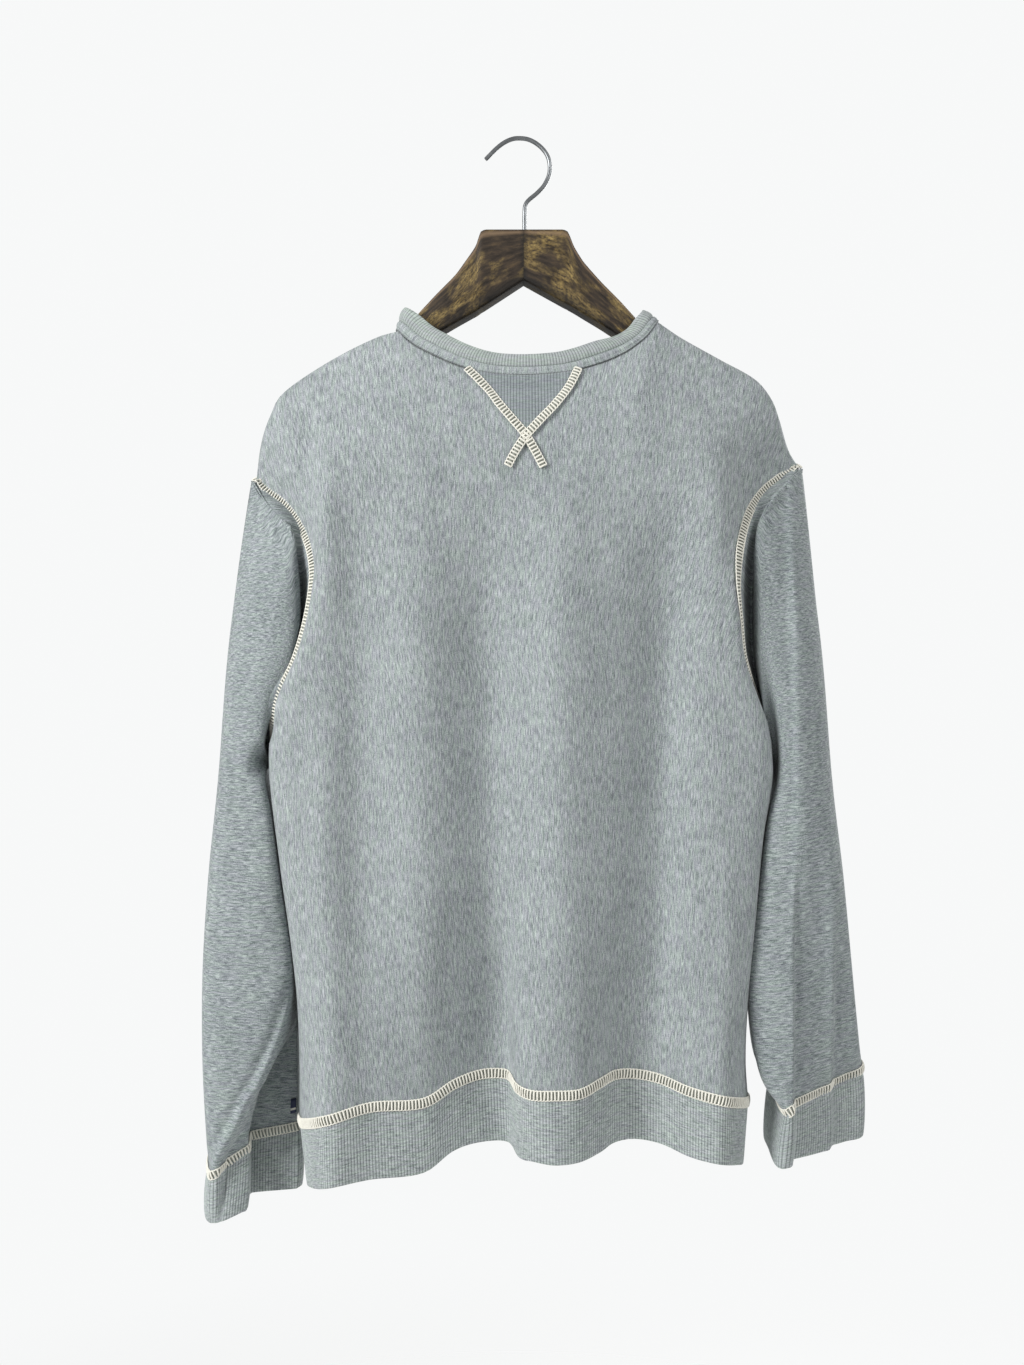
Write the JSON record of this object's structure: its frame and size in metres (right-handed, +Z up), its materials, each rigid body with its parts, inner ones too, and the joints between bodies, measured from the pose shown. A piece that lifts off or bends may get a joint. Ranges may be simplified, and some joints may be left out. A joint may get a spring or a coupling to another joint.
{
  "type": "crewneck sweatshirt on a wooden hanger",
  "caption": "Long-sleeved knitted crewneck sweatshirt with a ribbed neck, cuffs and hem, hanging on a wooden hanger with a wire hook.",
  "frame": {"origin": "the inside of the hook's top, where the hanger hangs", "axes": "+Z up, +Y away from the viewer who sees the garment's back, +X to that viewer's right"},
  "size_m": [0.563, 0.1195, 0.9112],
  "materials": {
    "fleece": "heathered grey-green cotton fleece, matt with a faint nap",
    "rib": "heathered grey-green knitted ribbing, matt",
    "tab": "woven navy ribbon, matt",
    "wood": "dark stained beech, worn to a golden brown in patches",
    "hook_steel": "bright drawn wire"
  },
  "bodies": {
    "root": {"back_panel": "fleece", "front_panel": "fleece", "neck_binding": "fleece", "sleeve_left": "fleece", "sleeve_right": "fleece", "v_insert": "rib", "neck_rib": "rib", "cuff_left": "rib", "cuff_right": "rib", "hem_rib": "rib", "sleeve_tab": "tab", "hanger_left": "wood", "hanger_right": "wood", "hanger_hook": "hook_steel"}
  },
  "joints": []
}
